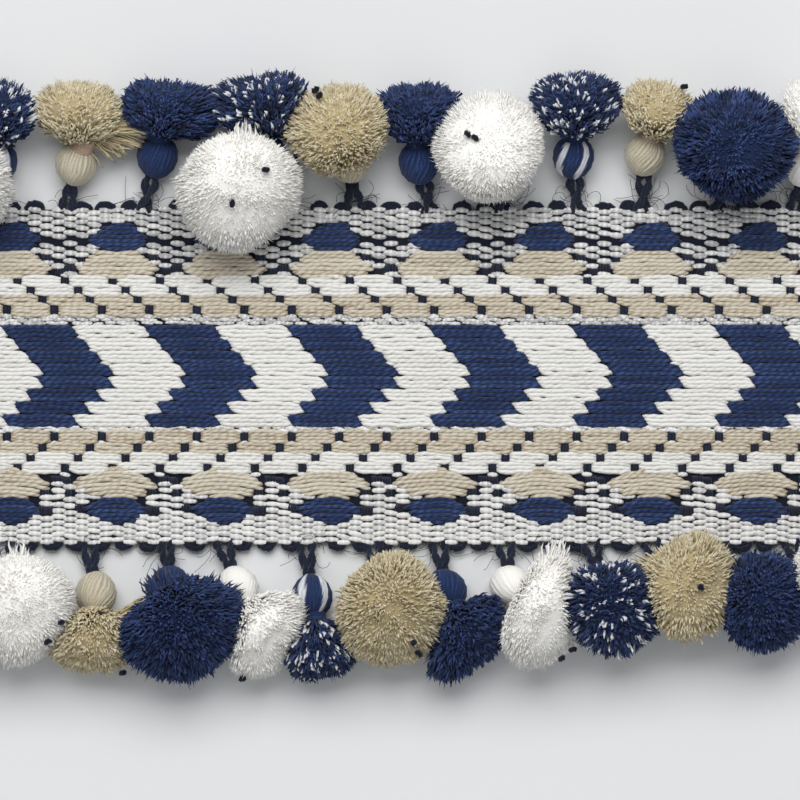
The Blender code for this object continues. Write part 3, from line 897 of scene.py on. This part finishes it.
# %% Lobes and hanks
LOBES = {
    "top_01": (((1, 0, 0.2), 1.4, 3),),
    "top_02": (((1, -0.5, 0), 2.0, 5), ((0.2, -1, 0), 1.0, 4)),
    "top_03": (((-1, 0.1, 0.2), 0.8, 4), ((1, -0.6, 0), 1.4, 4), ((0, 1, 0), -0.9, 3)),
    "top_04": (((1, -0.25, 0), 4.4, 3), ((0, 1, 0), -1.3, 3), ((0.7, 0.9, 0), -1.2, 5),
               ((-1, -0.5, 0), 1.2, 6)),
    "top_05": (((-0.2, -1, 0), 1.4, 4), ((-1, 0, 0), 1.0, 4), ((1, 0.2, 0), 0.8, 4)),
    "top_06": (((0, 1, 0), -3.4, 2), ((1, -0.1, 0), 1.4, 3), ((-1, -0.2, 0), 1.6, 3)),
    "top_07": (((1, 0.1, 0), 0.9, 4), ((-1, 0.3, 0), 0.8, 5)),
    "top_08": (((1, 0.2, 0), 1.0, 4), ((0, 1, 0), -0.8, 3)),
    "top_09": (((0, -1, 0.1), 1.4, 3), ((0, 1, 0), 1.0, 3), ((-1, 0, 0), 1.0, 3)),
    "top_10": (((0, 1, 0), -1.0, 2), ((1, 0.1, 0), 0.8, 4)),
    "top_12": (((-1, -0.1, 0), 1.5, 4), ((0, -1, 0), 0.9, 4), ((0, 1, 0), -0.6, 4),
               ((1, 0, 0), 0.8, 4)),
    "bottom_02": (((-0.1, -1, 0), 2.2, 4), ((1, 0.2, 0), 0.8, 6)),
    "bottom_03": (((1, 0.8, 0), 1.8, 4), ((-1, -0.2, 0), 0.8, 4)),
    "bottom_04": (((-0.8, 0.75, 0.1), -4.0, 6), ((0.2, 1, 0.3), -2.6, 10), ((1, 0.35, 0), 1.6, 6),
                  ((-1, -0.25, 0), 1.6, 8), ((0.2, -1, 0), 1.2, 5)),
    "bottom_05": (((0.8, 1, 0), 3.4, 4), ((0.2, -1, 0), 3.2, 3)),
    "bottom_07": (((0.1, 1, 0.2), 2.6, 5), ((-0.9, 0.3, 0.2), 0.8, 6)),
    "bottom_08": (((1, 0.7, 0), 2.4, 6), ((-0.5, -1, 0), 3.2, 4)),
    "bottom_09": (((-0.2, 1, 0.2), 1.6, 6), ((-0.75, -0.8, 0), 2.8, 4)),
    "bottom_10": (((0.7, 0.7, 0), 0.8, 6), ((0.2, -1, 0), 1.0, 6), ((-1, 0.3, 0), 1.4, 4),
                  ((0.9, -0.5, 0), 0.9, 6)),
    "bottom_11": (((0.3, 1, 0.2), 2.0, 5), ((-0.2, -1, 0.2), 1.2, 5), ((-1, 0.5, 0.2), 1.0, 8)),
    "bottom_12": (((-0.6, 1, 0.2), 1.8, 6), ((1, 0.3, 0.1), 1.2, 5)),
}
Hank = namedtuple("Hank", "pompom pixel_x pixel_y height count spread")
HANKS = (
    Hank("top_03", 150, 131, 7.0, 60, 0.8), Hank("top_03", 138, 144, 6.0, 60, 1.0),
    Hank("top_03", 122, 155, 5.0, 50, 1.1), Hank("top_03", 45, 128, 5.0, 50, 1.0),
    Hank("bottom_04", 152, 581, 10.0, 100, 0.9), Hank("bottom_04", 162, 573, 10.0, 90, 0.9),
    Hank("bottom_04", 212, 581, 11.0, 110, 0.9), Hank("bottom_04", 238, 592, 10.0, 90, 0.9),
    Hank("bottom_04", 190, 590, 12.0, 70, 1.3), Hank("bottom_11", 635, 563, 9.0, 70, 1.0),
    Hank("bottom_12", 723, 575, 11.0, 60, 1.0),
    Hank("bottom_03", 148, 606, 5.0, 50, 1.1), Hank("bottom_09", 556, 549, 9.0, 80, 1.2),
    Hank("bottom_08", 506, 618, 7.0, 60, 1.1), Hank("bottom_02", 20, 551, 9.0, 70, 1.2),
    Hank("top_05", 246, 126, 15.0, 40, 1.1),
)


HANK_FLOOR = 0.3 * MM


def at_pixel(pixel_x, pixel_y, height=0.0):
    return np.array((
        (pixel_x - 400) / PIXELS_PER_MM * MM + VIEW_CENTRE_X,
        (400 - pixel_y) / PIXELS_PER_MM * MM + VIEW_CENTRE_Y, height * MM,
    ))


def hanging(hank, row, pile):
    """A loose bundle of curly strands that bows out from the neck to its end."""
    end = at_pixel(hank.pixel_x, hank.pixel_y, hank.height)
    heart = ring_of(row) if row.lies != "side" else head_of(row) + axis_of(row) * (NECK_AT + 1.5 * MM)
    scatter = chance.normal(0, 1, (hank.count, 3)) * MM
    tips = end + scatter * hank.spread
    roots = heart + scatter * 0.5
    bow = np.array((0.0, 0.0, 1.2 * MM)) + axis_of(row) * 0.8 * MM
    stations = []
    for share in (0.45, 0.72, 0.9):
        place = roots + share * (tips - roots) + bow * 4 * share * (1 - share)
        place = place + chance.normal(0, 0.34, place.shape) * MM
        stations.append(keep_above(place, HANK_FLOOR))
    keep_above(tips, HANK_FLOOR)
    width = chance.uniform(0.18, 0.3, hank.count) * MM
    # A hank is painted a little darker than its pile, as it lies in shade, and each strand runs from
    # painted shade at the root to lighter at the tip.
    tone = chance.normal(pile.light - 0.08, pile.contrast, hank.count)[:, None]
    shade = tone + np.array([-0.4, -0.25, -0.1, 0.0, 0.15])
    return locks(roots, stations, [width] * 3, tips, np.clip(shade, 0, 1), np.zeros(hank.count))


def flyaway(row, tips, pile):
    """Single fibres that stand a little proud of the trimmed surface."""
    picked = tips[(chance.random(len(tips)) < pile.wisps) & (tips[:, 2] > 1.2 * MM)]
    outward = unit(picked - ring_of(row))
    bent = unit(outward + chance.normal(0, 0.5, picked.shape))
    ends = picked + bent * chance.uniform(0.4, 1.2, (len(picked), 1)) * MM
    keep_above(ends, 0.2 * MM)
    width = np.full(len(picked), 0.07 * MM)
    # Stray fibres take a tone above the pile's mean: painted light, as they stand out in the open.
    shade = np.full((len(picked), 3), pile.light + 0.1)
    return locks(picked - outward * 1.5 * MM, [picked], [width], ends, shade, np.zeros(len(picked)))


# %% [markdown]
# Under the yarn sits a core of the same colour, so that no gap shows between the strands.
# It follows the lobes: wholly where they push in, by half where they push out. Its own
# shade value is painted shade between the strands: deep on the beige, navy and flecked
# pompoms, and raised on the ivory ones so that their gaps read pale.
# The head is yarn wound from pole to pole over a bead: a turned profile with a ridge for
# each strand. The neck is bound with fine thread, a pale satin one on the beige pompoms.

# %% Core, head and binding
HEAD_STRANDS = 30


def turned(profile, sectors):
    """A closed solid from a profile of (along, radius), turned about the Z axis."""
    bm = bmesh.new()
    verts = [bm.verts.new((radius, 0, along)) for along, radius in profile]
    edges = [bm.edges.new(pair) for pair in zip(verts, verts[1:])]
    bmesh.ops.spin(
        bm, geom=verts + edges, cent=(0, 0, 0), axis=(0, 0, 1),
        angle=2 * math.pi, steps=sectors, use_merge=True,
    )
    bmesh.ops.remove_doubles(bm, verts=bm.verts[:], dist=0.005 * MM)
    bmesh.ops.recalc_face_normals(bm, faces=bm.faces[:])
    return bm


def placed(bm, head, axis):
    """Turns a solid made about Z onto an axis and moves it to the head's centre."""
    turn = Vector(axis).to_track_quat("Z", "Y").to_matrix().to_4x4()
    turn.translation = Vector(head)
    bmesh.ops.transform(bm, matrix=turn, verts=bm.verts[:])
    return bm


def core(name, row, planes, pile):
    curve = outline(row)[np.linspace(0, 59, 16).astype(int)]
    bm = placed(turned(curve, 24), head_of(row), axis_of(row))
    points = np.array([vert.co for vert in bm.verts])
    points = pull_behind(points, ring_of(row), planes)
    outward = unit(points - ring_of(row))
    rise = lobed(name, outward)
    push = np.where(rise > 0, 0.5, 1.0)[:, None] * rise[:, None]
    points = ring_of(row) + (points - ring_of(row)) * pile.core + outward * push
    keep_above(points, TIP_FLOOR)
    for vert, point in zip(bm.verts, points):
        vert.co = point
    # The core's colour is painted shade between the locks.
    return part_of(bm, pile.core_shade)


def wound_head(row):
    angles = np.linspace(-math.pi / 2, math.pi / 2 * 0.86, 9)
    # The wound yarn draws together towards the loop, so the head is a little pear-shaped.
    profile = [
        (HEAD * math.sin(a) * length, HEAD * max(math.cos(a), 0.0) ** taper)
        for a in angles for length, taper in ((1.2, 1.2) if a < 0 else (1.04, 1.0),)
    ]
    profile += [(NECK_AT + 0.2 * MM, NECK * 0.9), (NECK_AT + 1.2 * MM, 0.0)]
    profile[0] = (profile[0][0], 0.0)
    bm = turned(profile, HEAD_STRANDS * 3)
    own = np.random.default_rng(int(abs(row.head_x) * 10))
    relief, contrast = (0.06, 0.22) if row.colour == "ivory" else (0.09, 0.5)
    lie, weight = own.uniform(0, 6.28, 3), own.uniform(0.75, 1.15, HEAD_STRANDS)
    tone, dyed = [], []
    for vert in bm.verts:
        angle = math.atan2(vert.co.y, vert.co.x)
        rise = vert.co.z / HEAD
        # The strands are laid by hand: they wander, and some stand higher than others.
        wander = angle + 0.09 * math.sin(2 * angle + 2.2 * rise + lie[0])
        wander += 0.05 * math.sin(5 * angle - 3 * rise + lie[1])
        turn = wander / (2 * math.pi) * HEAD_STRANDS
        strand = int(math.floor(turn + 0.5)) % HEAD_STRANDS
        crest = (0.5 + 0.5 * math.cos(2 * math.pi * turn)) * weight[strand]
        reach = math.hypot(vert.co.x, vert.co.y)
        swell = 1 + relief * (crest - 0.5) * min(1.0, reach / (0.5 * HEAD))
        swirl = 0.35 * rise + 0.08 * math.sin(2.5 * rise + lie[2])
        vert.co.x, vert.co.y = (
            swell * (vert.co.x * math.cos(swirl) - vert.co.y * math.sin(swirl)),
            swell * (vert.co.x * math.sin(swirl) + vert.co.y * math.cos(swirl)),
        )
        # Each strand's crest is painted lighter and the groove between strands darker, more so on the
        # coloured heads: painted light and shade over the relief, with some strands lighter at random.
        tone.append(0.42 + contrast * (crest - 0.5))
        pale = row.colour == "beige" or row.colour == "flecked" and strand % 7 in (3, 4)
        dyed.append(1.0 if pale else 0.0)
    placed(bm, head_of(row), axis_of(row))
    for vert in bm.verts:
        vert.co.z = max(vert.co.z, 0.05 * MM)
    return part_of(bm, np.array(tone), np.array(dyed))


WRAP_LEANS = -64.2


def binding(row):
    """Turns of thread round the neck; one wrap leans away from its pompom's axis."""
    head, axis = head_of(row), axis_of(row)
    if row.ring_x == WRAP_LEANS:
        axis = unit(at_pixel(86, 140, 7.2) - head)
    one, two = frame_of(axis)
    angle = np.linspace(0, 2 * math.pi, 13)
    turns = 8 if row.colour == "beige" else 4
    rings = []
    for turn_number in range(turns):
        along = NECK_AT - 1.1 * MM + turn_number * 0.42 * MM
        spread = NECK * (1.12 + 0.02 * math.cos(2.0 * turn_number))
        circle = np.cos(angle)[:, None] * one + np.sin(angle)[:, None] * two
        rings.append(head + axis * along + spread * circle)
    tone = 0.5 + chance.uniform(-0.1, 0.1, (turns, 1))
    return sweep(np.array(rings), 0.27 * MM, 5, axis, tone, 1.2 * MM)


# %% Pompoms
pompom_tips = {}
for edge, rows, side in EDGES:
    for number, row in enumerate(rows, start=1):
        name = f"pompom_{edge}_{number:02d}"
        pile = PILES[row.colour]
        planes = pressed_planes(row, [other for other in rows if other is not row])
        strands, tips = cut_yarn(name, row, planes, pile)
        strands += [hanging(hank, row, pile) for hank in HANKS if name == "pompom_" + hank.pompom]
        parts = [*strands, flyaway(row, tips, pile), core(name, row, planes, pile), wound_head(row)]
        if row.colour != "beige":
            parts.append(binding(row))
        piece(name + "_yarn", parts, pile.material, [name])
        if row.colour == "beige":
            piece(name + "_binding", [binding(row)], satin_wrap)
        pompom_tips[name] = (tips, ring_of(row))

# %% [markdown]
# The thread that ties each pompom is cut off short, and its black ends show on some of
# them as one or two dark knots. Their places are pixels of the photo; each knot sits on
# the yarn ends that lie below that place.

# %% Tie ends
Knot = namedtuple("Knot", "pompom pixel_x pixel_y turn")
KNOTS = (
    Knot("top_05", 267, 172, 0.2), Knot("top_05", 234, 206, 1.4),
    Knot("top_07", 316, 92, 0.9), Knot("top_07", 320, 98, 0.3),
    Knot("top_09", 467, 136, -0.5), Knot("top_09", 474, 140, -0.6),
    Knot("top_11", 683, 88, -0.3),
    Knot("bottom_02", 64, 620, 0.9), Knot("bottom_02", 50, 640, 0.3),
    Knot("bottom_07", 413, 641, 0.5), Knot("bottom_07", 419, 652, -0.8),
    Knot("bottom_09", 572, 648, 0.5), Knot("bottom_09", 561, 657, 0.8),
    Knot("bottom_11", 698, 586, 0.2), Knot("bottom_05", 241, 684, 0.0),
    Knot("bottom_03", 123, 672, 0.2),
)
KNOT_HALF = 0.75
KNOT_FLOOR = 0.9 * MM
knot_points = []
for knot in KNOTS:
    place = at_pixel(knot.pixel_x, knot.pixel_y)
    tips, centre = pompom_tips["pompom_" + knot.pompom]
    away = np.hypot(*(tips - place)[:, :2].T)
    near = tips[away < max(1.2 * MM, away.min() + 0.1 * MM)]
    base = near[np.argmax(near[:, 2])]
    spot = np.array((place[0], place[1], base[2])) if away.min() < MM else base
    spot[2] = max(spot[2], KNOT_FLOOR)
    lean = unit(np.array((math.cos(knot.turn), math.sin(knot.turn), 0.35)))
    stub = np.linspace(-KNOT_HALF, KNOT_HALF, 5)[:, None] * MM * lean
    knot_points.append(spot + stub + chance.normal(0, 0.1, (5, 3)) * MM)
knot_radii = np.array([0.34, 0.62, 0.55, 0.66, 0.3]) * MM
knot_part = sweep(np.array(knot_points), knot_radii, 7, (0.1, 0.2, 1), 0.15, 1.5 * MM, 0.12)
piece("tie_ends", [knot_part], weft_yarn)

# %% [markdown]
# Each pompom hangs from a loop of dark two-ply yarn that comes out of the selvedge. Its
# two legs draw together at the head; on most of the upper ones they cross on the way.

# %% Hanging loops
LOOP_YARN = 0.54 * MM
PLY_APART = 0.42 * MM
LOOP_LEVEL = 1.15 * MM
LOOP_STATIONS = 18


def loop_leg(row, side, sign, crossed, apart):
    head, axis = head_of(row), axis_of(row)
    root = np.array((row.root * MM, side * (HALF_WIDTH - 0.6 * MM), LOOP_LEVEL))
    towards = unit(head - root)
    end = head - towards * (HEAD - 0.4 * MM)
    flank = unit(np.array((-towards[1], towards[0], 0.0)))
    t = np.linspace(0, 1, LOOP_STATIONS)
    if crossed:
        width = np.interp(t, [0, 0.35, 0.72, 1], [1.25, 0.0, -1.2, -0.4])
        lift = np.interp(t, [0, 0.35, 0.7, 1], [0, 0.75 * sign, 0, 0]) + 0.35 * abs(sign)
    else:
        width = np.interp(t, [0, 0.3, 0.75, 1], [apart, 0.9 * apart, 0.55, 0.3])
        lift = 0.35 * np.sin(t * math.pi)
    smoothed(width, 2)
    smoothed(lift, 2)
    line = root + (end - root) * t[:, None] + flank * (sign * width * MM)[:, None]
    line[:, 2] += lift * MM
    return keep_above(line, LOOP_YARN)


for edge, rows, side in EDGES:
    for number, row in enumerate(rows, start=1):
        crossed = side > 0 and chance.random() < 0.7
        apart = chance.uniform(0.9, 1.6)
        legs = np.array([loop_leg(row, side, sign, crossed, apart) for sign in (1, -1)])
        turn = np.linspace(0, 1, LOOP_STATIONS)[:, None] * 8.0 + chance.uniform(0, 6)
        plies = []
        for half_turn in (0.0, math.pi):
            wound = turn + half_turn
            aside = np.concatenate([np.cos(wound), 0 * wound, 0.6 * np.sin(wound)], axis=1)
            plies.append(legs + aside * PLY_APART)
        plies = np.concatenate(plies)
        radii = LOOP_YARN * chance.uniform(0.85, 1.1, (4, LOOP_STATIONS))
        tone = 0.4 + chance.uniform(-0.1, 0.1, (4, 1))
        strand = sweep(plies, radii, 7, (0, 0, 1), tone, 1.8 * MM, 0.12)
        name = f"loop_{edge}_{number:02d}"
        piece(name + "_yarn", [strand], weft_yarn, [name])

# %% [markdown]
# Between the loops the weft turns round at the selvedge in small picots, every second
# shot. Loose dark fibres curl about the loops and over the edge.

# %% Picots and loose fibres
PICOT_REACH = 1.45 * MM
FIBRES_PER_LOOP = 17
picots = []
for edge, rows, side in EDGES:
    for shot in range(1, SHOTS, 2):
        x = (shot + 0.05 + (0.5 if side > 0 else 0.0)) * SHOT - HALF_LENGTH
        if abs(x) > HALF_LENGTH - 2 * MM or any(abs(x - row.root * MM) < 0.9 * SHOT for row in rows):
            continue
        width = chance.uniform(1.4, 2.1) * MM
        for share in (0.35, 1.0):
            half = width * (0.55 + 0.45 * share)
            reach = PICOT_REACH * share * chance.uniform(0.8, 1.1)
            t = np.linspace(0, math.pi, 11)
            arc = np.stack([
                x - half * np.cos(t), side * (HALF_WIDTH - 0.5 * MM + reach * np.sin(t) ** 0.8),
                (1.0 + 0.35 * share) * MM + 0.15 * MM * np.sin(t),
            ], axis=1)
            picots.append(arc + chance.normal(0, 0.07, arc.shape) * MM)
picot_radii = np.array([0.4, 0.5, 0.55, 0.6, 0.62, 0.62, 0.62, 0.6, 0.55, 0.5, 0.4]) * MM
picot_radii = picot_radii * chance.uniform(0.85, 1.15, (len(picots), 11))
picot_part = sweep(np.array(picots), picot_radii, 6, (0, 0, 1), 0.35, 1.8 * MM, 0.14)

hairs = []
for edge, rows, side in EDGES:
    for row in rows:
        root = np.array((row.root * MM, side * (HALF_WIDTH + 1.2 * MM), 1.5 * MM))
        for _ in range(FIBRES_PER_LOOP):
            start = root + chance.normal(0, 1, 3) * np.array((1.6, 0.8, 0.3)) * MM
            heading = chance.uniform(0, 2 * math.pi)
            bend = chance.normal(0, 0.6)
            step = chance.uniform(0.35, 0.8) * MM
            line = [start]
            for _ in range(9):
                heading += bend * 0.4 + chance.normal(0, 0.16)
                ahead = np.array((math.cos(heading), math.sin(heading), chance.normal(0, 0.2)))
                line.append(line[-1] + ahead * step)
            line = np.array(line)
            line[:, 2] = np.clip(line[:, 2], 0.3 * MM, 4.5 * MM)
            low = side * (HALF_WIDTH - 2 * MM)
            line[:, 1] = np.maximum(line[:, 1], low) if side > 0 else np.minimum(line[:, 1], low)
            hairs.append(line)
hairs = np.array(hairs)
hairs[:, :, 0] = np.clip(hairs[:, :, 0], cad_low.x, cad_high.x)
hair_part = sweep(hairs, 0.06 * MM, 3, (0.1, 0.1, 1), 0.25)
piece("picots_and_fibres", [picot_part, hair_part], weft_yarn)

# %% [markdown]
# The table is matt pale paper. One large soft lamp stands beyond the top edge, so the
# shadows fall softly towards the lower edge, and an even pale sky fills them.

# %% Table and light
paper = bpy.data.materials.new("matt_pale_paper")
paper.use_nodes = True
paper_tree = paper.node_tree
paper_shader = paper_tree.nodes["Principled BSDF"]
paper_place = add_node(paper_tree, "ShaderNodeTexCoord").outputs["Object"]
paper_tone = add_node(
    paper_tree, "ShaderNodeTexNoise", {"Vector": paper_place, "Scale": 6.0, "Detail": 2.0}
)
paper_ramp = add_node(paper_tree, "ShaderNodeValToRGB", {"Fac": paper_tone.outputs["Fac"]})
paper_ramp.color_ramp.elements[0].color = linear("#e2e3e5")
paper_ramp.color_ramp.elements[1].color = linear("#e6e7e8")
paper_tree.links.new(paper_ramp.outputs["Color"], paper_shader.inputs["Base Color"])
paper_shader.inputs["Roughness"].default_value = 0.9
paper_shader.inputs["Specular IOR Level"].default_value = 0.1

table = bmesh.new()
bmesh.ops.create_grid(table, x_segments=2, y_segments=2, size=1.5)
bmesh.ops.translate(table, vec=(0, 0, -0.15 * MM), verts=table.verts[:])
table_mesh = bpy.data.meshes.new("table_top")
table.to_mesh(table_mesh)
table.free()
table_mesh.materials.append(paper)
table_top = bpy.data.objects.new("table_top", table_mesh)
bpy.context.scene.collection.objects.link(table_top)
table_top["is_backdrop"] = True


def soft_lamp(name, width, depth, energy, place, colour):
    data = bpy.data.lights.new(name, "AREA")
    data.shape = "RECTANGLE"
    data.size = width
    data.size_y = depth
    data.energy = energy
    data.color = colour
    lamp = bpy.data.objects.new(name, data)
    lamp.location = place
    lamp.rotation_euler = (-Vector(place)).to_track_quat("-Z", "Y").to_euler()
    bpy.context.scene.collection.objects.link(lamp)


soft_lamp("window", 1.4, 1.0, 23.5, (-0.1, 0.85, 1.4), (1.0, 0.998, 0.99))
soft_lamp("reflector", 1.6, 0.45, 2.5, (0.1, -1.6, 0.6), (0.98, 0.99, 1.0))

world = bpy.data.worlds.new("soft_sky")
world.use_nodes = True
sky = world.node_tree.nodes["Background"]
sky.inputs["Color"].default_value = (0.95, 0.97, 1.0, 1.0)
sky.inputs["Strength"].default_value = 0.38
bpy.context.scene.world = world

# %% [markdown]
# The two boxes, before and after dressing, are kept so that they can be compared: how far
# the dressed scene stands proud of the solids is printed. The two boxes, before and after
# dressing, are kept so that they can be compared: yarn may stand a few millimetres proud
# of its solid, and nothing else may.

# %% Sizes and finish
seen_low, seen_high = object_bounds()
for end, past in (("low", cad_low - seen_low), ("high", seen_high - cad_high)):
    print("proud in mm at the", end, "side", [round(v / MM, 1) for v in past])
